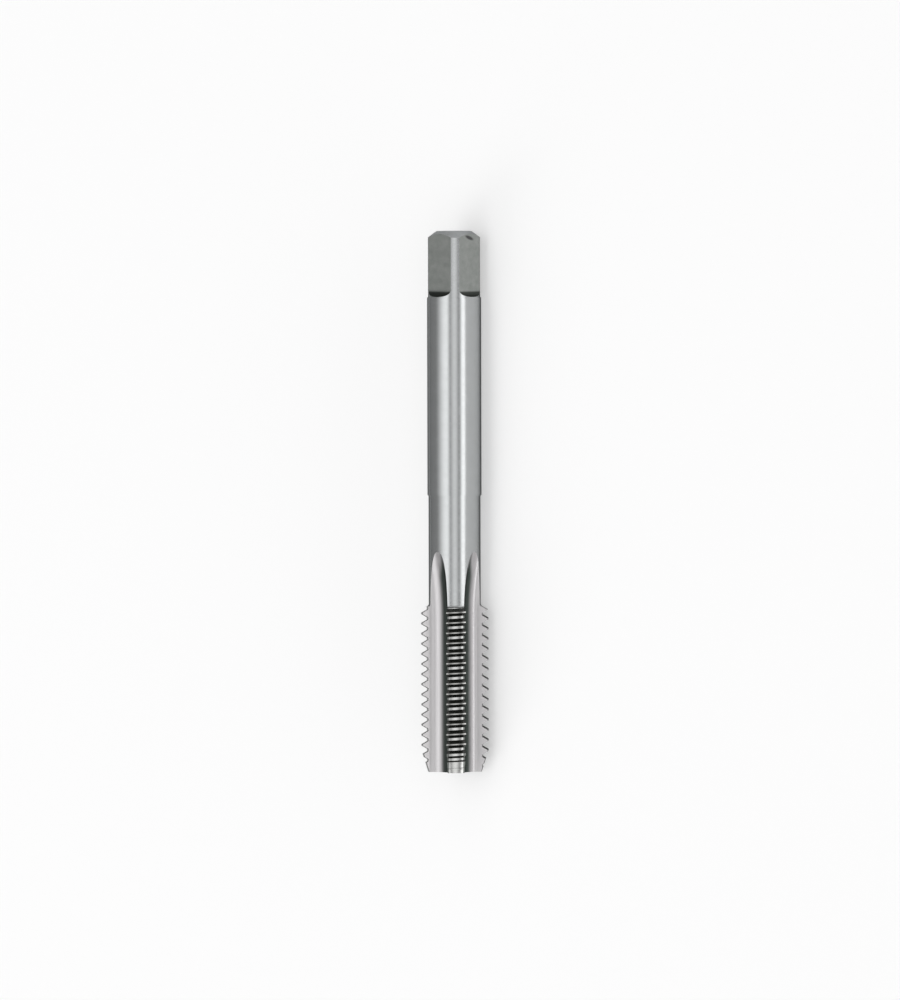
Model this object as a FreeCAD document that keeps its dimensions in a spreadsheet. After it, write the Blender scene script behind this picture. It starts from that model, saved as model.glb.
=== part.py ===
import FreeCAD, Part
import Sketcher
import math
import os

# Hand tap for M10 x 1.5, right hand: four straight flutes, a reduced neck, a round shank and a
# driving square. It is ground from one bar, so it is one solid.
# In the body's own frame the axis is Z, and the cutting end faces -Z at the origin.
# The finished tap lies along Y on two of its lands, with the cutting end towards -Y.

# Each row has a size's name, its value in millimetres or degrees, and what it measures.
SIZES = [
    ("overall_length", 80.0, "cutting end to driving end"),
    ("thread_diameter", 10.0, "over the crests"),
    ("thread_pitch", 1.5, "advance in one turn"),
    ("thread_crest_flat", 0.1875, "width of a tooth's top"),
    ("thread_root_flat", 0.35, "width of the groove's bottom"),
    ("thread_flank_angle", 60.0, "between the two flanks of a tooth"),
    ("thread_length", 24.0, "cutting end to the shoulder"),
    ("shoulder_length", 0.65, "thread's diameter down to the neck"),
    ("shoulder_fillet", 0.4, "where the shoulder meets the neck"),
    ("lead_length", 3.2, "chamfered cutting end"),
    ("lead_tip_diameter", 8.0, "of the cutting end's face"),
    ("neck_diameter", 7.69, "of the reduced neck"),
    ("neck_length", 16.2, "shoulder to the shank's step"),
    ("shank_diameter", 8.0, "of the round shank"),
    ("step_length", 0.15, "bevel between two turned diameters"),
    ("flute_count", 4, "flutes and lands"),
    ("core_diameter", 5.2, "across the bottoms of two opposite flutes"),
    ("flute_half_angle", 28.25, "flute's middle to a land's edge, about the tap's axis"),
    ("face_radius", 1.22, "of the corner below a land's cutting face"),
    ("face_angle", 32.0, "of the cutting face to the flute's middle"),
    ("heel_radius", 2.23, "of the corner below a land's heel"),
    ("heel_angle", 32.5, "of the heel to the flute's middle"),
    ("flute_length", 23.0, "cutting end to where the flute starts to rise"),
    ("wheel_radius", 38.0, "of the grinding wheel that the flute rises along"),
    ("square_width", 6.25, "across two flats"),
    ("square_length", 8.6, "of the flats at their full depth"),
    ("square_runout_radius", 1.15, "of the curve at the foot of a flat"),
    ("square_turned_diameter", 7.69, "across the square's corners"),
    ("square_turned_length", 9.7, "of that diameter, from the driving end"),
    ("end_face_diameter", 5.2, "of the driving end's face"),
    ("end_chamfer_length", 0.9, "of the cone round that face"),
    ("centre_drill_diameter", 1.25, "of the centre holes' pilots"),
    ("centre_drill_depth", 2.6, "end face to the full pilot's end"),
    ("centre_point_angle", 118.0, "of the pilots' pointed ends"),
    ("countersink_diameter", 2.75, "of the centre holes at the end faces"),
    ("countersink_angle", 60.0, "of the centre holes' cones"),
    ("cut_margin", 0.5, "how far a cut starts outside the bar"),
]

FULL_TURN = 360
QUARTER_TURN = 90
SMALLEST_CHANGE = 1e-6

doc = FreeCAD.newDocument("thread_tap")


def make_sheet():
    """Puts the driving sizes in a sheet, one named cell for each."""
    table = doc.addObject("Spreadsheet::Sheet", "Sizes")
    for row, (alias, number, note) in enumerate(SIZES, start=1):
        table.set(f"A{row}", alias)
        table.set(f"B{row}", str(number))
        table.set(f"C{row}", note)
        table.setAlias(f"B{row}", alias)
    doc.recompute()
    return table


sheet = make_sheet()
body = doc.addObject("PartDesign::Body", "ThreadTap")
body.Label = "thread_tap"
origin = {feature.Role: feature for feature in body.Origin.OriginFeatures}


def number_of(expression):
    """The present value of an expression on the sheet."""
    return float(sheet.evalExpression(expression))


def add_sketch(name, plane):
    """An empty sketch on one of the body's own planes."""
    sketch = body.newObject("Sketcher::SketchObject", name)
    sketch.AttachmentSupport = [(origin[plane], "")]
    sketch.MapMode = "FlatFace"
    return sketch


def bind(sketch, label, expression, kind, *targets):
    """Adds a dimension to a sketch, bound to the sheet."""
    index = sketch.addConstraint(Sketcher.Constraint(kind, *targets, number_of(expression)))
    sketch.renameConstraint(index, label)
    sketch.setExpression(f"Constraints.{label}", expression)


def place(sketch, label, geometry, vertex, across, up):
    """Fixes a point of a sketch by its two coordinates."""
    if across == "0":
        sketch.addConstraint(Sketcher.Constraint("PointOnObject", geometry, vertex, -2))
    else:
        bind(sketch, f"{label}_x", across, "DistanceX", -1, 1, geometry, vertex)
    if up == "0":
        sketch.addConstraint(Sketcher.Constraint("PointOnObject", geometry, vertex, -1))
    else:
        bind(sketch, f"{label}_y", up, "DistanceY", -1, 1, geometry, vertex)


def arc_between(start, end, centre):
    """The curve that runs anticlockwise about a centre from one point to another."""
    angles = [math.atan2(point.y - centre.y, point.x - centre.x) for point in (start, end)]
    circle = Part.Circle(centre, FreeCAD.Vector(0, 0, 1), start.distanceToPoint(centre))
    return Part.ArcOfCircle(circle, *angles)


def add_outline(name, plane, corners, curves=None):
    """A closed outline through the given corners.

    Its sides are straight, but for those in curves: a side's number, and its centre and radius.
    """
    sketch = add_sketch(name, plane)
    curves = curves or {}
    points = [FreeCAD.Vector(number_of(x), number_of(y), 0) for x, y in corners]
    for side, (start, end) in enumerate(zip(points, points[1:] + points[:1])):
        if side in curves:
            across, up, _ = curves[side]
            line = arc_between(start, end, FreeCAD.Vector(number_of(across), number_of(up), 0))
        else:
            line = Part.LineSegment(start, end)
        sketch.addGeometry(line, False)
    for side, (across, up) in enumerate(corners):
        following = (side + 1) % len(corners)
        sketch.addConstraint(Sketcher.Constraint("Coincident", side, 2, following, 1))
        place(sketch, f"corner_{side}", side, 1, across, up)
    for side, (_, _, radius) in curves.items():
        bind(sketch, f"side_{side}_radius", radius, "Radius", side)
    return sketch


def add_feature(kind, name, profile):
    """A feature of the body that takes its shape from a sketch."""
    feature = body.newObject(f"PartDesign::{kind}", name)
    feature.Profile = profile
    return feature


def repeat_round_axis(name, originals, count):
    """Repeats cuts at equal angles about the tap's axis."""
    pattern = body.newObject("PartDesign::PolarPattern", name)
    pattern.Originals = originals
    pattern.Axis = (origin["Z_Axis"], [""])
    pattern.Angle = FULL_TURN
    pattern.setExpression("Occurrences", count)
    body.Tip = pattern


def turn_blank():
    """The bar as it is turned, before anything is cut into it."""
    neck_start = "Sizes.thread_length + Sizes.shoulder_length"
    neck_end = f"{neck_start} + Sizes.neck_length"
    square_start = "Sizes.overall_length - Sizes.square_turned_length"
    outline = add_outline("BlankOutline", "XZ_Plane", [
        ("0", "0"),
        ("Sizes.lead_tip_diameter / 2", "0"),
        ("Sizes.thread_diameter / 2", "Sizes.lead_length"),
        ("Sizes.thread_diameter / 2", "Sizes.thread_length"),
        ("Sizes.neck_diameter / 2", neck_start),
        ("Sizes.neck_diameter / 2", neck_end),
        ("Sizes.shank_diameter / 2", f"{neck_end} + Sizes.step_length"),
        ("Sizes.shank_diameter / 2", f"{square_start} - Sizes.step_length"),
        ("Sizes.square_turned_diameter / 2", square_start),
        ("Sizes.square_turned_diameter / 2", "Sizes.overall_length - Sizes.end_chamfer_length"),
        ("Sizes.end_face_diameter / 2", "Sizes.overall_length"),
        ("0", "Sizes.overall_length"),
    ])
    blank = add_feature("Revolution", "Blank", outline)
    blank.ReferenceAxis = (outline, ["V_Axis"])
    blank.Angle = FULL_TURN
    doc.recompute()
    return blank


def round_shoulder(blank):
    """The fillet where the thread's shoulder meets the neck."""
    height = number_of("Sizes.thread_length + Sizes.shoulder_length")
    foot = min(
        (index for index, edge in enumerate(blank.Shape.Edges, start=1) if len(edge.Vertexes) == 1),
        key=lambda index: abs(blank.Shape.Edges[index - 1].BoundBox.Center.z - height),
    )
    fillet = body.newObject("PartDesign::Fillet", "ShoulderFillet")
    fillet.Base = (blank, [f"Edge{foot}"])
    fillet.setExpression("Radius", "Sizes.shoulder_fillet")


def drill_centre(name, start, inward):
    """A centre hole in one end face. inward is + or -, the way along the axis that it is drilled."""
    cone_depth = (
        "(Sizes.countersink_diameter - Sizes.centre_drill_diameter) / 2"
        " / tan(Sizes.countersink_angle / 2 * 1 deg)"
    )
    point_depth = "Sizes.centre_drill_diameter / 2 / tan(Sizes.centre_point_angle / 2 * 1 deg)"
    depths = [
        ("0", "0"),
        ("Sizes.countersink_diameter / 2", "0"),
        ("Sizes.centre_drill_diameter / 2", cone_depth),
        ("Sizes.centre_drill_diameter / 2", "Sizes.centre_drill_depth"),
        ("0", f"Sizes.centre_drill_depth + {point_depth}"),
    ]
    corners = [
        (radius, start if depth == "0" else f"{start} {inward} ({depth})") for radius, depth in depths
    ]
    outline = add_outline(f"{name}Outline", "XZ_Plane", corners)
    hole = add_feature("Groove", name, outline)
    hole.ReferenceAxis = (outline, ["V_Axis"])
    hole.Angle = FULL_TURN


def wall_of_flute(side, radius, angle):
    """One side wall of a flute's section: its corner's centre, its foot and its outer end.

    side is + for the cutting face and - for the heel. The wall leaves the land's edge at the crest
    at its own angle, and a corner of its own radius joins it to the flute's flat bottom.
    """
    edge_x = "Sizes.thread_diameter / 2 * cos(Sizes.flute_half_angle * 1 deg)"
    edge_y = "Sizes.thread_diameter / 2 * sin(Sizes.flute_half_angle * 1 deg)"
    slope = f"tan({angle} * 1 deg)"
    centre_x = f"(Sizes.core_diameter / 2 + {radius})"
    centre_y = f"({edge_y} + ({centre_x} - {edge_x}) * {slope} - {radius} / cos({angle} * 1 deg))"
    foot_x = f"({centre_x} - {radius} * sin({angle} * 1 deg))"
    foot_y = f"({centre_y} + {radius} * cos({angle} * 1 deg))"
    end_x = "(Sizes.thread_diameter / 2 + 2 * Sizes.cut_margin)"
    end_y = f"({foot_y} + ({end_x} - {foot_x}) * {slope})"
    centre = (centre_x, f"{side}{centre_y}")
    return centre, (foot_x, f"{side}{foot_y}"), (end_x, f"{side}{end_y}")


def grind_flutes():
    """The straight flutes, each rising out of the neck along the grinding wheel's rim."""
    bottom = "Sizes.core_diameter / 2"
    face_centre, face_foot, face_end = wall_of_flute("+", "Sizes.face_radius", "Sizes.face_angle")
    heel_centre, heel_foot, heel_end = wall_of_flute("-", "Sizes.heel_radius", "Sizes.heel_angle")
    corners = [
        (bottom, heel_centre[1]),
        heel_foot,
        heel_end,
        face_end,
        face_foot,
        (bottom, face_centre[1]),
    ]
    curves = {0: (*heel_centre, "Sizes.heel_radius"), 4: (*face_centre, "Sizes.face_radius")}
    section = add_outline("FluteSection", "XY_Plane", corners, curves)
    section.setExpression("AttachmentOffset.Base.z", "Sizes.flute_length")

    wheel_centre = f"{bottom} + Sizes.wheel_radius"
    reach = "Sizes.thread_diameter / 2"
    top = FreeCAD.Vector(number_of(wheel_centre), number_of(reach), 0)
    foot = FreeCAD.Vector(top.x, -top.y, 0)
    wheel_axis = section.addGeometry(Part.LineSegment(foot, top), True)
    section.addConstraint(Sketcher.Constraint("Vertical", wheel_axis))
    bind(section, "wheel_centre", wheel_centre, "DistanceX", -1, 1, wheel_axis, 2)
    bind(section, "wheel_axis_top", reach, "DistanceY", -1, 1, wheel_axis, 2)
    bind(section, "wheel_axis_length", f"2 * {reach}", "Distance", wheel_axis)

    run = add_feature("Pocket", "FluteRun", section)
    run.setExpression("Length", "Sizes.flute_length + Sizes.cut_margin")
    rise = add_feature("Groove", "FluteRise", section)
    rise.ReferenceAxis = (section, ["Axis0"])
    rise.Angle = QUARTER_TURN
    repeat_round_axis("Flutes", [run, rise], "Sizes.flute_count")


def grind_square():
    """The four flats of the driving square, each with a curved foot."""
    half = "Sizes.square_width / 2"
    radius = "Sizes.square_runout_radius"
    foot = "(Sizes.overall_length - Sizes.square_length)"
    outside = f"Sizes.shank_diameter / 2 + {radius}"
    above = "Sizes.overall_length + Sizes.cut_margin"
    corners = [
        (half, foot),
        (f"{half} + {radius}", f"{foot} - {radius}"),
        (outside, f"{foot} - {radius}"),
        (outside, above),
        (half, above),
    ]
    curves = {0: (f"{half} + {radius}", foot, radius)}
    flat = add_feature("Pocket", "Flat", add_outline("FlatOutline", "XZ_Plane", corners, curves))
    flat.Midplane = True
    flat.setExpression("Length", "Sizes.shank_diameter + 2 * Sizes.cut_margin")
    repeat_round_axis("DrivingSquare", [flat], "4")


def cut_thread():
    """The helical groove that leaves the teeth on the lands, running out over the shoulder.

    Outside the crests, its section stops halfway to where two neighbouring flanks would meet.
    """
    slope = "tan(Sizes.thread_flank_angle / 2 * 1 deg)"
    half_bottom = "Sizes.thread_root_flat / 2"
    half_top = "(Sizes.thread_pitch / 2 - Sizes.thread_crest_flat / 4)"
    top = f"(Sizes.thread_diameter / 2 + Sizes.thread_crest_flat / 4 / {slope})"
    bottom = f"{top} - ({half_top} - {half_bottom}) / {slope}"
    outline = add_outline("ThreadSection", "XZ_Plane", [
        (bottom, f"-({half_bottom})"),
        (top, f"-({half_top})"),
        (top, half_top),
        (bottom, half_bottom),
    ])
    outline.setExpression("AttachmentOffset.Base.y", "-Sizes.thread_pitch / 2")
    groove = add_feature("SubtractiveHelix", "ThreadGroove", outline)
    groove.ReferenceAxis = (outline, ["V_Axis"])
    groove.Mode = "pitch-height-angle"
    groove.setExpression("Pitch", "Sizes.thread_pitch")
    groove.setExpression(
        "Height", "Sizes.thread_length + Sizes.shoulder_length + 2 * Sizes.thread_pitch"
    )
    groove.Angle = 0
    groove.LeftHanded = False


def lay_down():
    """Lays the tap along Y, resting on the edges of two lands either side of a flute."""
    body.Placement = FreeCAD.Placement(
        FreeCAD.Vector(0, 0, 0), FreeCAD.Rotation(FreeCAD.Vector(1, 0, 0), -QUARTER_TURN)
    )
    body.setExpression("Placement.Base.y", "-Sizes.overall_length / 2")
    body.setExpression(
        "Placement.Base.z", "Sizes.thread_diameter / 2 * cos(Sizes.flute_half_angle * 1 deg)"
    )


def check_model():
    """Stops if an object failed, a feature changed nothing or the solid isn't sound."""
    for item in doc.Objects:
        if {"Invalid", "Error"} & set(item.State):
            raise RuntimeError(f"{item.Name} failed: {item.State}")
    features = [item for item in body.Group if item.isDerivedFrom("PartDesign::Feature")]
    for before, after in zip(features, features[1:]):
        if abs(after.Shape.Volume - before.Shape.Volume) < SMALLEST_CHANGE:
            raise RuntimeError(f"{after.Name} changed nothing")
    shape = body.Shape
    if shape.isNull() or not shape.isValid() or len(shape.Solids) != 1:
        raise RuntimeError("the tap isn't one valid solid")


round_shoulder(turn_blank())
drill_centre("TipCentreHole", "0", "+")
drill_centre("EndCentreHole", "Sizes.overall_length", "-")
grind_flutes()
grind_square()
cut_thread()
lay_down()
doc.recompute()
check_model()

os.makedirs("parts", exist_ok=True)
body.Shape.exportStep(f"parts/{body.Label}.step")
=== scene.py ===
import math

import bmesh
import bpy
import numpy as np
from mathutils import Matrix, Vector


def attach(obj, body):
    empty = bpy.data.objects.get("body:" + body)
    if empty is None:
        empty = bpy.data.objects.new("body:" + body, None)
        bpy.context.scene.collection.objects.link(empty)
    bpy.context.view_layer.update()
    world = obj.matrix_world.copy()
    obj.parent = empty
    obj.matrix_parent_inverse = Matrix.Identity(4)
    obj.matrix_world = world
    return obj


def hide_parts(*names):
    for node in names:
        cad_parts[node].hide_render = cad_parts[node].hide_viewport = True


# The looks of a hand tap. Its surfaces are made in the tap's own frame, in millimetres: the axis is
# Z, and the cutting end's face is at the origin. PLACE then lays it along Y in the scene, in metres.

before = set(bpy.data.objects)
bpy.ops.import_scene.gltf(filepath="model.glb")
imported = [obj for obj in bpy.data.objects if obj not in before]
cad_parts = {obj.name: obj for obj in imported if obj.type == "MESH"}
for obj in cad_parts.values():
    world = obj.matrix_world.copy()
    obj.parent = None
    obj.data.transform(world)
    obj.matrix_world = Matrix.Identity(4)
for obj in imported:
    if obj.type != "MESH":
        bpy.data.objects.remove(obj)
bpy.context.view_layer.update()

# The bar.
OVERALL_LENGTH = 80.0
THREAD_RADIUS = 5.0
THREAD_LENGTH = 24.0
SHOULDER_LENGTH = 0.65
SHOULDER_FILLET = 0.4
LEAD_LENGTH = 3.2
LEAD_TIP_RADIUS = 4.0
NECK_RADIUS = 3.845
NECK_END = 40.85
SHANK_RADIUS = 4.0
STEP_LENGTH = 0.15
SQUARE_TURNED_RADIUS = 3.845
SQUARE_TURNED_LENGTH = 9.7
END_FACE_RADIUS = 2.6
END_CHAMFER_LENGTH = 0.9

# The centre holes.
COUNTERSINK_RADIUS = 1.375
PILOT_RADIUS = 0.625
PILOT_DEPTH = 2.6
COUNTERSINK_HALF_ANGLE = math.radians(30)
POINT_HALF_ANGLE = math.radians(59)

# The thread's groove.
PITCH = 1.5
CREST_FLAT = 0.1875
ROOT_FLAT = 0.35
FLANK_ANGLE = math.radians(30)
THREAD_TURNS = (THREAD_LENGTH + SHOULDER_LENGTH + 2 * PITCH) / PITCH

# The flutes.
FLUTE_COUNT = 4
CORE_RADIUS = 2.6
FLUTE_HALF_ANGLE = math.radians(28.25)
FACE_RADIUS = 1.22
FACE_ANGLE = math.radians(32)
HEEL_RADIUS = 2.23
HEEL_ANGLE = math.radians(32.5)
FLUTE_LENGTH = 23.0
WHEEL_RADIUS = 38.0
RISE_ANGLE = math.radians(30)

# The driving square.
FLAT_COUNT = 4
SQUARE_HALF_WIDTH = 3.125
SQUARE_LENGTH = 8.6
RUNOUT_RADIUS = 1.15

# Where the finishes and the painted shade change, in metres in the scene. A pair says where a change
# starts and ends.
# Dark oil and painted shade lie in the flutes near two planes, one beside the axis and one above
# it, and narrow towards their end.
OIL_AND_SHADE_X = 0.75e-3
OIL_AND_SHADE_Z = 0.45e-3
OIL_AND_SHADE_EDGE = (0.35e-3, 1.25e-3)
OIL_AND_SHADE_END = (-11.5e-3, -7.5e-3)
OIL_AND_SHADE_NARROWING = 0.8e-3
# A land's colour changes where its distances from the axis along X and along Z differ this much:
# beside the flutes its painted shade starts, and its flanks turn lighter with painted reflection.
LAND_EDGE = (1.3e-3, 1.6e-3)
# The foot of a flat turns from dark painted shade to grey, measured from where the flat is level.
FOOT_EDGE = (-0.45e-3, -0.10e-3)
# One flat has a dark oval mark. Its edge is given in squared shares of its size.
DARK_MARK_Y = 39.05e-3
DARK_MARK_Z = 0.05e-3
DARK_MARK_LENGTH = 1.9e-3
DARK_MARK_WIDTH = 0.6e-3
DARK_MARK_SLOPE = 0.3
DARK_MARK_EDGE = (0.2, 1.3)
FAR_FROM_DARK_MARK = 9.0

# How far the cutting shapes reach out of the bar, and how finely the surfaces are divided.
MARGIN = 0.5
LATHE_STEPS = 320
THREAD_STEPS = 120
RISE_STEPS = 60
CURVE_STEPS = 16
JOIN_DISTANCE = 1e-4
BEVEL_SHARE = 0.25
SMALLEST = 1e-12
NORMAL = "true_normal"

REST_HEIGHT = THREAD_RADIUS * math.cos(FLUTE_HALF_ANGLE)
MILLIMETRE = 0.001
PLACE = (
    Matrix.Scale(MILLIMETRE, 4)
    @ Matrix.Translation((0, -OVERALL_LENGTH / 2, REST_HEIGHT))
    @ Matrix.Rotation(-math.pi / 2, 4, "X")
)


# Materials

EVEN = (1, 1, 1)


def add_node(tree, kind, inputs=None, **settings):
    """A node with its settings, and with its inputs set to values or linked to other outputs."""
    made = tree.nodes.new(kind)
    for name, value in settings.items():
        setattr(made, name, value)
    for name, value in (inputs or {}).items():
        socket = made.inputs[name]
        if isinstance(value, bpy.types.NodeSocket):
            tree.links.new(value, socket)
        else:
            socket.default_value = value
    return made


def noise(tree, scale, stretch, detail=3.0, roughness=0.55):
    """Noise in the object's own coordinates. stretch multiplies its scale along X, Y and Z."""
    place = add_node(tree, "ShaderNodeTexCoord").outputs["Object"]
    scaled = add_node(tree, "ShaderNodeMapping", {"Vector": place, "Scale": stretch})
    inputs = {
        "Vector": scaled.outputs["Vector"],
        "Scale": scale,
        "Detail": detail,
        "Roughness": roughness,
    }
    return add_node(tree, "ShaderNodeTexNoise", inputs).outputs["Fac"]


def spread(tree, value, low, high):
    """A noise's middle range spread between two values."""
    inputs = {"Value": value, "From Min": 0.3, "From Max": 0.7, "To Min": low, "To Max": high}
    return add_node(tree, "ShaderNodeMapRange", inputs).outputs["Result"]


def fade(tree, value, start, end, low, high):
    """A value that turns smoothly from low to high between two places."""
    inputs = {"Value": value, "From Min": start, "From Max": end, "To Min": low, "To Max": high}
    made = add_node(tree, "ShaderNodeMapRange", inputs, interpolation_type="SMOOTHSTEP")
    return made.outputs["Result"]


def calculate(tree, operation, first, second):
    """The result of a sum on two values, each a number or an output."""
    made = add_node(tree, "ShaderNodeMath", operation=operation)
    for socket, value in zip(made.inputs, (first, second)):
        if isinstance(value, bpy.types.NodeSocket):
            tree.links.new(value, socket)
        else:
            socket.default_value = value
    return made.outputs[0]


def from_line(tree, value, place):
    """How far a value lies from a place, on either side of it."""
    return calculate(tree, "ABSOLUTE", calculate(tree, "SUBTRACT", value, place), 0.0)


def place_parts(tree):
    """The object's own coordinates, one by one. The tap's axis runs along Y at REST_HEIGHT."""
    place = add_node(tree, "ShaderNodeTexCoord").outputs["Object"]
    return add_node(tree, "ShaderNodeSeparateXYZ", {"Vector": place}).outputs


def bump(tree, height, depth, below=None):
    """Relief of a given depth in metres, over the relief below it."""
    inputs = {"Height": height, "Distance": depth, "Strength": 1.0}
    if below is not None:
        inputs["Normal"] = below
    return add_node(tree, "ShaderNodeBump", inputs).outputs["Normal"]


def blend_colours(tree, share, low, high):
    """A colour between two others."""
    mixed = add_node(tree, "ShaderNodeMix", data_type="RGBA")
    for name, value in {"Factor": share, "A": low, "B": high}.items():
        socket = next(item for item in mixed.inputs if item.name == name and item.enabled)
        if isinstance(value, bpy.types.NodeSocket):
            tree.links.new(value, socket)
        else:
            socket.default_value = (*value, 1.0)
    return next(item for item in mixed.outputs if item.enabled)


def make_steel(name, colour, roughness, relief, edge_tint):
    """Bare steel. colour and roughness are functions of the node tree, as relief is."""
    material = bpy.data.materials.new(name)
    material.use_nodes = True
    tree = material.node_tree
    tree.nodes.clear()
    inputs = {
        "Base Color": colour(tree),
        "Metallic": 1.0,
        "Roughness": roughness(tree),
        "Specular Tint": (edge_tint, edge_tint, edge_tint, 1.0),
        "Normal": relief(tree),
    }
    shader = add_node(tree, "ShaderNodeBsdfPrincipled", inputs)
    output = add_node(tree, "ShaderNodeOutputMaterial")
    tree.links.new(shader.outputs["BSDF"], output.inputs["Surface"])
    return material


def grained_colour(scale, low, high):
    """A colour that a fine noise varies between two others."""
    return lambda tree: blend_colours(tree, noise(tree, scale, EVEN), low, high)


def grained_roughness(scale, low, high, stretch=EVEN):
    """A roughness that a fine noise varies between two values."""
    return lambda tree: spread(tree, noise(tree, scale, stretch), low, high)


def grained_relief(scale, depth, stretch=EVEN):
    """Relief of a given depth in metres, from a fine noise."""
    return lambda tree: bump(tree, noise(tree, scale, stretch), depth)


def flute_colour(tree):
    """Ground steel with fine marks along the flute, and dark oil and painted shade in the bottoms,
    by the top land.
    """
    marks = noise(tree, 1, (5000, 60, 5000))
    bright = blend_colours(tree, marks, (0.41, 0.40, 0.405), (0.49, 0.48, 0.485))
    # The dark colour is oil together with painted shade by the land walls.
    dark = blend_colours(tree, marks, (0.045, 0.055, 0.05), (0.085, 0.10, 0.09))
    parts = place_parts(tree)
    from_oil_and_shade = calculate(
        tree,
        "MINIMUM",
        from_line(tree, parts["X"], OIL_AND_SHADE_X),
        from_line(tree, parts["Z"], REST_HEIGHT * MILLIMETRE + OIL_AND_SHADE_Z),
    )
    narrowing = fade(tree, parts["Y"], *OIL_AND_SHADE_END, 0.0, OIL_AND_SHADE_NARROWING)
    from_oil_and_shade = calculate(tree, "ADD", from_oil_and_shade, narrowing)
    return blend_colours(tree, fade(tree, from_oil_and_shade, *OIL_AND_SHADE_EDGE, 0.0, 1.0), dark, bright)


def beside_flutes(tree):
    """0 in the middle of each land, and 1 beside the flutes."""
    parts = place_parts(tree)
    across = from_line(tree, parts["X"], 0.0)
    upright = from_line(tree, parts["Z"], REST_HEIGHT * MILLIMETRE)
    return fade(tree, from_line(tree, across, upright), *LAND_EDGE, 0.0, 1.0)


def land_colour(tree):
    """Ground steel that is bright in the middle of each land, with painted shade darkening it beside
    the flutes.
    """
    grain = noise(tree, 2500, EVEN)
    bright = blend_colours(tree, grain, (0.43, 0.435, 0.425), (0.53, 0.53, 0.52))
    painted_shade = blend_colours(tree, grain, (0.06, 0.065, 0.06), (0.12, 0.125, 0.12))
    return blend_colours(tree, beside_flutes(tree), bright, painted_shade)


def flank_colour(tree):
    """The thread's flanks: darkened by oil and painted shade in the middle of each land, and
    lighter beside the flutes, where the lightness is painted reflection.
    """
    grain = noise(tree, 2500, EVEN)
    oily_and_shaded = blend_colours(tree, grain, (0.09, 0.093, 0.086), (0.15, 0.154, 0.145))
    painted_lighter = blend_colours(tree, grain, (0.18, 0.18, 0.175), (0.27, 0.27, 0.26))
    return blend_colours(tree, beside_flutes(tree), oily_and_shaded, painted_lighter)


def mottled_grey(tree):
    """The grey of the square's flats."""
    mottle = noise(tree, 900, EVEN, detail=6.0)
    return blend_colours(tree, mottle, (0.22, 0.24, 0.225), (0.36, 0.365, 0.355))


def flat_colour(tree):
    """A mottled grey flat, with one dark oval mark near the end of the square."""
    grey = mottled_grey(tree)
    parts = place_parts(tree)
    height = calculate(tree, "SUBTRACT", parts["Z"], REST_HEIGHT * MILLIMETRE + DARK_MARK_Z)
    along = calculate(tree, "SUBTRACT", parts["Y"], calculate(tree, "MULTIPLY", height, DARK_MARK_SLOPE))
    reach = calculate(tree, "DIVIDE", height, DARK_MARK_LENGTH / 2)
    width = calculate(tree, "DIVIDE", calculate(tree, "SUBTRACT", along, DARK_MARK_Y), DARK_MARK_WIDTH / 2)
    squares = [calculate(tree, "MULTIPLY", value, value) for value in (reach, width)]
    other_side = calculate(tree, "LESS_THAN", parts["X"], 0.0)
    away = calculate(tree, "MULTIPLY", other_side, FAR_FROM_DARK_MARK)
    from_dark_mark = calculate(tree, "ADD", calculate(tree, "ADD", *squares), away)
    share = fade(tree, from_dark_mark, *DARK_MARK_EDGE, 0.0, 1.0)
    return blend_colours(tree, share, (0.09, 0.09, 0.09), grey)


def runout_colour(tree):
    """The foot of a flat, which darkens from the flat's grey to nearly black: painted shade in the
    hollow.
    """
    foot = (OVERALL_LENGTH / 2 - SQUARE_LENGTH) * MILLIMETRE
    start, end = [foot + edge for edge in FOOT_EDGE]
    share = fade(tree, place_parts(tree)["Y"], start, end, 0.0, 1.0)
    return blend_colours(tree, share, (0.06, 0.065, 0.06), mottled_grey(tree))


def polished_relief(tree):
    """A ground cylinder's relief: a slight waviness under fine marks that run round it."""
    waves = bump(tree, noise(tree, 260, EVEN, detail=1.0), 6e-6)
    return bump(tree, noise(tree, 1, (90, 6000, 90), detail=2.0), 4e-7, waves)


MATERIALS = {
    "polished": make_steel(
        "ground_shank",
        grained_colour(500, (0.375, 0.385, 0.385), (0.425, 0.435, 0.44)),
        grained_roughness(1, 0.17, 0.25, (200, 5000, 200)),
        polished_relief,
        0.15,
    ),
    "flute": make_steel(
        "ground_flute",
        flute_colour,
        grained_roughness(1, 0.30, 0.40, (6000, 90, 6000)),
        grained_relief(1, 1.2e-6, (7000, 70, 7000)),
        0.5,
    ),
    "land": make_steel(
        "bright_land",
        land_colour,
        grained_roughness(3000, 0.10, 0.18),
        grained_relief(3500, 1.5e-6),
        0.5,
    ),
    "thread": make_steel(
        "ground_thread",
        grained_colour(2500, (0.27, 0.27, 0.26), (0.37, 0.37, 0.36)),
        grained_roughness(3000, 0.12, 0.20),
        grained_relief(3500, 2e-6),
        0.5,
    ),
    "flank": make_steel(
        "ground_flank",
        flank_colour,
        grained_roughness(3000, 0.20, 0.32),
        grained_relief(3500, 2e-6),
        0.3,
    ),
    "runout": make_steel(
        "ground_runout",
        runout_colour,
        grained_roughness(3000, 0.34, 0.46),
        grained_relief(3500, 2e-6),
        0.2,
    ),
    "flat": make_steel(
        "ground_flat",
        flat_colour,
        grained_roughness(1400, 0.42, 0.56),
        grained_relief(4000, 6e-6),
        0.8,
    ),
    "turned": make_steel(
        "turned_end",
        grained_colour(1600, (0.31, 0.325, 0.33), (0.41, 0.415, 0.42)),
        grained_roughness(2000, 0.36, 0.48),
        grained_relief(5000, 2e-6),
        0.5,
    ),
}


# Shapes

def line(start, end, finish=None):
    """A straight side of a section: its points, its direction at each, and its material."""
    points = np.array([start, end], float)
    direction = (points[1] - points[0]) / np.linalg.norm(points[1] - points[0])
    return points, np.array([direction, direction]), finish


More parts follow.
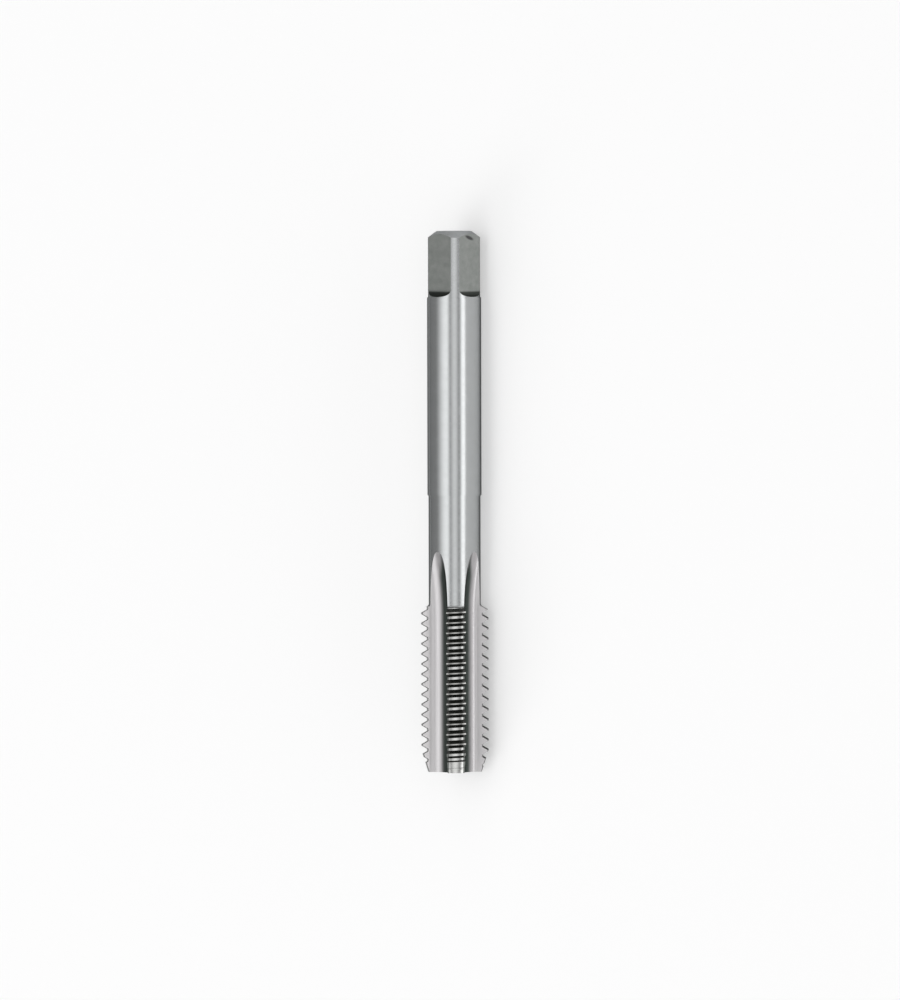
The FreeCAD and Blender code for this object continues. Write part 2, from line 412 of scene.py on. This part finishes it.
def curve(centre, radius, start, end, finish=None):
    """A side of a section that runs round a centre from one angle to another."""
    angles = np.linspace(start, end, CURVE_STEPS + 1)
    points = np.array(centre) + radius * np.column_stack([np.cos(angles), np.sin(angles)])
    turn = 1 if end > start else -1
    return points, turn * np.column_stack([-np.sin(angles), np.cos(angles)]), finish


def polyline(points, finish=None):
    """Straight sides through the given points."""
    return [line(start, end, finish) for start, end in zip(points, points[1:])]


def eased(start, end, finish):
    """A narrow bevel that is worn smooth, so that it shades much like what it joins."""
    points, directions, finish = line(start, end, finish)
    mean = directions * BEVEL_SHARE + np.array((0, 1 - BEVEL_SHARE))
    return points, mean / np.linalg.norm(mean, axis=1, keepdims=True), finish


def sweep(name, sides, stations, cuts):
    """A closed shape: a section carried through a row of placings.

    Each placing is a matrix that takes the section's plane, X and Y, to the tap's frame. Seen from
    where the path goes, a section that cuts runs anticlockwise. Each corner keeps the true normal
    of the finished surface, which points into a shape that cuts and out of the bar.
    """
    outline = np.concatenate([points[:-1] for points, _, _ in sides] + [sides[-1][0][-1:]])
    count, rows = len(outline), len(stations)
    flat = np.column_stack([outline, np.zeros(count), np.ones(count)])
    matrices = np.array([np.array(station) for station in stations])
    grid = np.einsum("sij,pj->spi", matrices, flat)[:, :, :3]
    path = np.gradient(grid, axis=0)

    faces, normals, finishes = [], [], []
    column = 0
    low = np.arange(rows - 1)
    for points, directions, finish in sides:
        for step in range(len(points) - 1):
            along = np.column_stack([directions[step:step + 2], np.zeros((2, 1))])
            tangent = np.einsum("sij,pj->spi", matrices[:, :3, :3], along)
            normal = np.cross(path[:, column:column + 2], tangent)
            normal /= np.linalg.norm(normal, axis=2, keepdims=True) + SMALLEST
            corners = [(low, 0), (low + 1, 0), (low + 1, 1), (low, 1)]
            if cuts:
                corners.reverse()
            for order in ((0, 1, 2), (0, 2, 3)):
                chosen = [corners[k] for k in order]
                faces.append(np.column_stack([row * count + column + side for row, side in chosen]))
                normals.append(np.stack([normal[row, side] for row, side in chosen], axis=1))
                finishes += [finish] * len(low)
            column += 1
    faces = np.concatenate(faces).tolist()
    normals = np.concatenate(normals).reshape(-1, 3)
    if cuts:
        faces += [list(range(count)), list(range(rows * count - 1, (rows - 1) * count - 1, -1))]
        normals = np.concatenate([normals, np.tile((0.0, 0.0, 1.0), (2 * count, 1))])
        finishes += finishes[:2]
    return make_shape(name, grid.reshape(-1, 3), faces, normals, finishes)


def make_shape(name, points, faces, normals, finishes):
    """A mesh object with a true normal at each corner, its doubled points joined."""
    mesh = bpy.data.meshes.new(name)
    mesh.from_pydata(points.tolist(), [], faces)
    attribute = mesh.attributes.new(NORMAL, "FLOAT_VECTOR", "CORNER")
    attribute.data.foreach_set("vector", normals.astype(np.float32).ravel())
    used = list(dict.fromkeys(finishes))
    for finish in used:
        mesh.materials.append(MATERIALS[finish])
    mesh.polygons.foreach_set("material_index", [used.index(finish) for finish in finishes])
    joined = bmesh.new()
    joined.from_mesh(mesh)
    bmesh.ops.remove_doubles(joined, verts=joined.verts, dist=JOIN_DISTANCE)
    joined.to_mesh(mesh)
    joined.free()
    shape = bpy.data.objects.new(name, mesh)
    bpy.context.scene.collection.objects.link(shape)
    return shape


def turn_bar():
    """The bar as it is turned, with a centre hole in each end."""
    cone_depth = (COUNTERSINK_RADIUS - PILOT_RADIUS) / math.tan(COUNTERSINK_HALF_ANGLE)
    point_depth = PILOT_RADIUS / math.tan(POINT_HALF_ANGLE)
    hole = [
        (0, PILOT_DEPTH + point_depth),
        (PILOT_RADIUS, PILOT_DEPTH),
        (PILOT_RADIUS, cone_depth),
        (COUNTERSINK_RADIUS, 0),
    ]
    far_hole = [(radius, OVERALL_LENGTH - depth) for radius, depth in reversed(hole)]
    shoulder_foot = THREAD_LENGTH + SHOULDER_LENGTH
    slope = math.atan2(THREAD_RADIUS - NECK_RADIUS, SHOULDER_LENGTH)
    reach = SHOULDER_FILLET * math.tan(slope / 2)
    fillet_start = (NECK_RADIUS + reach * math.sin(slope), shoulder_foot - reach * math.cos(slope))
    fillet_centre = (NECK_RADIUS + SHOULDER_FILLET, shoulder_foot + reach)
    square_start = OVERALL_LENGTH - SQUARE_TURNED_LENGTH
    shank_start = (SHANK_RADIUS, NECK_END + STEP_LENGTH)
    shank_end = (SHANK_RADIUS, square_start - STEP_LENGTH)
    chamfer = (SQUARE_TURNED_RADIUS, OVERALL_LENGTH - END_CHAMFER_LENGTH)
    lead_end = (THREAD_RADIUS, LEAD_LENGTH)
    crest_end = (THREAD_RADIUS, THREAD_LENGTH)
    sides = [
        *polyline([*hole, (LEAD_TIP_RADIUS, 0)], "turned"),
        line((LEAD_TIP_RADIUS, 0), lead_end, "land"),
        *polyline([lead_end, crest_end, fillet_start], "thread"),
        curve(fillet_centre, SHOULDER_FILLET, math.pi + slope, math.pi, "polished"),
        line((NECK_RADIUS, fillet_centre[1]), (NECK_RADIUS, NECK_END), "polished"),
        eased((NECK_RADIUS, NECK_END), shank_start, "polished"),
        line(shank_start, shank_end, "polished"),
        eased(shank_end, (SQUARE_TURNED_RADIUS, square_start), "polished"),
        line((SQUARE_TURNED_RADIUS, square_start), chamfer, "polished"),
        *polyline([chamfer, (END_FACE_RADIUS, OVERALL_LENGTH), *far_hole], "turned"),
    ]
    upright = Matrix.Rotation(math.pi / 2, 4, "X")
    angles = np.linspace(0, 2 * math.pi, LATHE_STEPS + 1)
    stations = [Matrix.Rotation(angle, 4, "Z") @ upright for angle in angles]
    return sweep("tap", sides, stations, cuts=False)


def wall_of_flute(radius, angle):
    """A side wall of a flute's section: its corner's centre, its foot and its outer end."""
    slope = math.tan(angle)
    edge_x = THREAD_RADIUS * math.cos(FLUTE_HALF_ANGLE)
    edge_y = THREAD_RADIUS * math.sin(FLUTE_HALF_ANGLE)
    centre_x = CORE_RADIUS + radius
    centre_y = edge_y + (centre_x - edge_x) * slope - radius / math.cos(angle)
    foot = (centre_x - radius * math.sin(angle), centre_y + radius * math.cos(angle))
    end_x = THREAD_RADIUS + 2 * MARGIN
    return (centre_x, centre_y), foot, (end_x, foot[1] + (end_x - foot[0]) * slope)


def grind_flute(number):
    """The shape that the wheel grinds away in one flute, out to where it has risen from the bar."""
    (face_x, face_y), face_foot, face_end = wall_of_flute(FACE_RADIUS, FACE_ANGLE)
    (heel_x, heel_y), heel_foot, heel_end = wall_of_flute(HEEL_RADIUS, HEEL_ANGLE)
    heel_y, heel_foot, heel_end = -heel_y, (heel_foot[0], -heel_foot[1]), (heel_end[0], -heel_end[1])
    quarter = math.pi / 2
    sides = [
        line((CORE_RADIUS, face_y), (CORE_RADIUS, heel_y), "flute"),
        curve((heel_x, heel_y), HEEL_RADIUS, math.pi, math.pi + quarter - HEEL_ANGLE, "flute"),
        *polyline([heel_foot, heel_end, face_end, face_foot], "flute"),
        curve((face_x, face_y), FACE_RADIUS, quarter + FACE_ANGLE, math.pi, "flute"),
    ]
    axis_x = CORE_RADIUS + WHEEL_RADIUS
    to_wheel = Matrix.Translation((axis_x, 0, FLUTE_LENGTH))
    from_wheel = Matrix.Translation((-axis_x, 0, 0))
    around = Matrix.Rotation(2 * math.pi * number / FLUTE_COUNT, 4, "Z")
    stations = [around @ Matrix.Translation((0, 0, -MARGIN))]
    for angle in np.linspace(0, RISE_ANGLE, RISE_STEPS + 1):
        stations.append(around @ to_wheel @ Matrix.Rotation(angle, 4, "Y") @ from_wheel)
    return sweep(f"flute_{number}", sides, stations, cuts=True)


def grind_flat(number):
    """The shape that is ground away over one flat of the driving square."""
    foot = OVERALL_LENGTH - SQUARE_LENGTH
    above = OVERALL_LENGTH + MARGIN
    outside = SHANK_RADIUS + RUNOUT_RADIUS
    centre = (SQUARE_HALF_WIDTH + RUNOUT_RADIUS, foot)
    sides = [
        *polyline([
            (outside, foot - RUNOUT_RADIUS),
            (outside, above),
            (SQUARE_HALF_WIDTH, above),
            (SQUARE_HALF_WIDTH, foot),
        ], "flat"),
        curve(centre, RUNOUT_RADIUS, math.pi, 1.5 * math.pi, "runout"),
    ]
    upright = Matrix.Rotation(math.pi / 2, 4, "X")
    around = Matrix.Rotation(2 * math.pi * number / FLAT_COUNT, 4, "Z")
    reach = SHANK_RADIUS + MARGIN
    stations = [around @ Matrix.Translation((0, y, 0)) @ upright for y in (reach, -reach)]
    return sweep(f"flat_{number}", sides, stations, cuts=True)


def cut_thread():
    """The helical groove. Outside the crests, it stops halfway to where the flanks would meet."""
    half_root = ROOT_FLAT / 2
    half_top = PITCH / 2 - CREST_FLAT / 4
    top = THREAD_RADIUS + CREST_FLAT / 4 / math.tan(FLANK_ANGLE)
    bottom = top - (half_top - half_root) / math.tan(FLANK_ANGLE)
    corners = [(bottom, half_root), (top, half_top), (top, -half_top), (bottom, -half_root)]
    finishes = ["flank", "thread", "flank", "land"]
    sides = [line(*ends) for ends in zip(corners, [*corners[1:], corners[0]], finishes)]
    upright = Matrix.Rotation(math.pi / 2, 4, "X")
    stations = []
    for step in range(round(THREAD_TURNS * THREAD_STEPS) + 1):
        turns = step / THREAD_STEPS
        rise = Matrix.Translation((0, 0, PITCH * (turns - 0.5)))
        stations.append(rise @ Matrix.Rotation(2 * math.pi * turns, 4, "Z") @ upright)
    return sweep("thread_groove", sides, stations, cuts=True)


def carve(bar, cutters):
    """Cuts the shapes out of the bar, and keeps the finished mesh with its true normals."""
    for cutter in cutters:
        cut = bar.modifiers.new(cutter.name, "BOOLEAN")
        cut.operation = "DIFFERENCE"
        cut.solver = "EXACT"
        cut.material_mode = "TRANSFER"
        cut.object = cutter
    graph = bpy.context.evaluated_depsgraph_get()
    mesh = bpy.data.meshes.new_from_object(
        bar.evaluated_get(graph), preserve_all_data_layers=True, depsgraph=graph
    )
    bar.modifiers.clear()
    bar.data = mesh
    for cutter in cutters:
        bpy.data.meshes.remove(cutter.data)
    mesh.transform(PLACE)
    normals = np.zeros(len(mesh.loops) * 3, np.float32)
    mesh.attributes[NORMAL].data.foreach_get("vector", normals)
    turned = normals.reshape(-1, 3) @ np.array(PLACE.to_3x3().normalized()).T
    mesh.attributes.remove(mesh.attributes[NORMAL])
    mesh.polygons.foreach_set("use_smooth", [True] * len(mesh.polygons))
    mesh.normals_split_custom_set(turned.tolist())
    return bar


tap = carve(
    turn_bar(),
    [
        *[grind_flute(number) for number in range(FLUTE_COUNT)],
        *[grind_flat(number) for number in range(FLAT_COUNT)],
        cut_thread(),
    ],
)
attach(tap, "root")
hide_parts("thread_tap")


# Floor, lights and camera

AIM = Vector((0, 0, REST_HEIGHT * MILLIMETRE))
FLOOR_COLOUR = (0.53, 0.53, 0.53, 1)
FLOOR_GLOW = 0.40
FLOOR_HALF_WIDTH = 6.0


def seen_directly(tree):
    """1 for what the camera sees, also in a mirror or through glass, and 0 for light on the way."""
    ray = add_node(tree, "ShaderNodeLightPath").outputs
    seen = calculate(tree, "MAXIMUM", ray["Is Camera Ray"], ray["Is Glossy Ray"])
    return calculate(tree, "MAXIMUM", seen, ray["Is Transmission Ray"])


def make_floor():
    """A plain white floor under the tap, which keeps its shadow."""
    material = bpy.data.materials.new("pale_floor")
    material.use_nodes = True
    tree = material.node_tree
    tree.nodes.clear()
    paint = add_node(tree, "ShaderNodeBsdfDiffuse", {"Color": FLOOR_COLOUR}).outputs["BSDF"]
    glow = calculate(tree, "MULTIPLY", seen_directly(tree), FLOOR_GLOW)
    shine = add_node(tree, "ShaderNodeEmission", {"Strength": glow}).outputs["Emission"]
    both = add_node(tree, "ShaderNodeAddShader")
    tree.links.new(paint, both.inputs[0])
    tree.links.new(shine, both.inputs[1])
    output = add_node(tree, "ShaderNodeOutputMaterial")
    tree.links.new(both.outputs["Shader"], output.inputs["Surface"])
    mesh = bpy.data.meshes.new("floor")
    half = FLOOR_HALF_WIDTH
    corners = [(-half, -half, 0), (half, -half, 0), (half, half, 0), (-half, half, 0)]
    mesh.from_pydata(corners, [], [(0, 1, 2, 3)])
    mesh.materials.append(material)
    floor = bpy.data.objects.new("floor", mesh)
    bpy.context.scene.collection.objects.link(floor)


# The light is a tent round the tap, with three soft panels that run along it. A panel's four angles
# are above +X, across the tap, in degrees: where it fades in, is full, starts to fade and is gone.
TENT_LEVEL = 0.40
PANELS = [
    ((-14, 0, 12, 26), 2.05),
    ((24, 44, 48, 70), 1.02),
    ((64, 77, 84, 134), 1.52),
]
# The tent darkens towards its two ends, from one share of the way along Y to another.
TENT_ENDS = [(0.30, 0.60), (-0.65, -0.95)]
TENT_END_LEVEL = 0.60
# A square softbox stands to the left of the tap in the image, past its tip. The radiance is how
# bright it looks.
KEY_DIRECTION = (-0.506, -0.766, 0.396)
KEY_DISTANCE = 2.6
KEY_SIZE = 1.4
KEY_RADIANCE = 3.0


def light_studio():
    """Soft studio light, from a tent and one softbox."""
    world = bpy.data.worlds.new("studio")
    world.use_nodes = True
    tree = world.node_tree
    direction = add_node(tree, "ShaderNodeTexCoord").outputs["Generated"]
    parts = add_node(tree, "ShaderNodeSeparateXYZ", {"Vector": direction}).outputs
    angle = calculate(tree, "ARCTAN2", parts["Z"], parts["X"])
    level = TENT_LEVEL
    for stops, strength in PANELS:
        rise_start, rise_end, fall_start, fall_end = [math.radians(stop) for stop in stops]
        rise = fade(tree, angle, rise_start, rise_end, 0, strength)
        fall = fade(tree, angle, fall_start, fall_end, 1, 0)
        level = calculate(tree, "ADD", calculate(tree, "MULTIPLY", rise, fall), level)
    for start, end in TENT_ENDS:
        share = fade(tree, parts["Y"], start, end, 1, TENT_END_LEVEL)
        level = calculate(tree, "MULTIPLY", level, share)
    background = tree.nodes["Background"]
    background.inputs["Color"].default_value = (1, 1, 1, 1)
    tree.links.new(level, background.inputs["Strength"])
    bpy.context.scene.world = world
    add_key_light()


def add_key_light():
    """A square softbox that faces the tap."""
    data = bpy.data.lights.new("key", "AREA")
    data.size = KEY_SIZE
    data.energy = KEY_RADIANCE * KEY_SIZE * KEY_SIZE * math.pi
    light = bpy.data.objects.new("key", data)
    back = Vector(KEY_DIRECTION).normalized()
    light.matrix_world = Matrix.Translation(AIM + back * KEY_DISTANCE) @ facing(back)
    bpy.context.scene.collection.objects.link(light)


def facing(back, roll=0.0):
    """The turn of a camera or lamp whose back is turned to a direction, its right side level."""
    right = Vector((0, 1, 0)).cross(back).normalized()
    turned = Matrix((right, back.cross(right), back)).transposed().to_4x4()
    return turned @ Matrix.Rotation(roll, 4, "Z")


CAMERA_ELEVATION = math.radians(47.2)
CAMERA_TILT = math.radians(2.7)
CAMERA_ROLL = math.radians(-0.12)
CAMERA_DISTANCE = 1.5
PIXELS_PER_METRE = 6760.0
IMAGE_HEIGHT = 1000
SENSOR = 36.0
CLIP_START = 0.05
CLIP_END = 50.0
TAP_CENTRE_RIGHT = 4.5
TAP_CENTRE_UP = -1.5


def add_camera():
    """The camera, which looks down on the tap from its side, with the square end up in the image."""
    level = Vector((math.cos(CAMERA_ELEVATION), 0, math.sin(CAMERA_ELEVATION)))
    back = (level * math.cos(CAMERA_TILT) + Vector((0, 1, 0)) * math.sin(CAMERA_TILT)).normalized()
    right = Vector((0, 1, 0)).cross(back).normalized()
    up = back.cross(right)
    data = bpy.data.cameras.new("camera")
    data.sensor_width = SENSOR
    data.lens = SENSOR * CAMERA_DISTANCE * PIXELS_PER_METRE / IMAGE_HEIGHT
    data.clip_start = CLIP_START
    data.clip_end = CLIP_END
    camera = bpy.data.objects.new("camera", data)
    target = AIM - (right * TAP_CENTRE_RIGHT + up * TAP_CENTRE_UP) / PIXELS_PER_METRE
    station = Matrix.Translation(target + back * CAMERA_DISTANCE)
    camera.matrix_world = station @ facing(back, CAMERA_ROLL)
    bpy.context.scene.collection.objects.link(camera)
    bpy.context.scene.camera = camera


make_floor()
light_studio()
add_camera()
bpy.context.scene.view_settings.view_transform = "Standard"
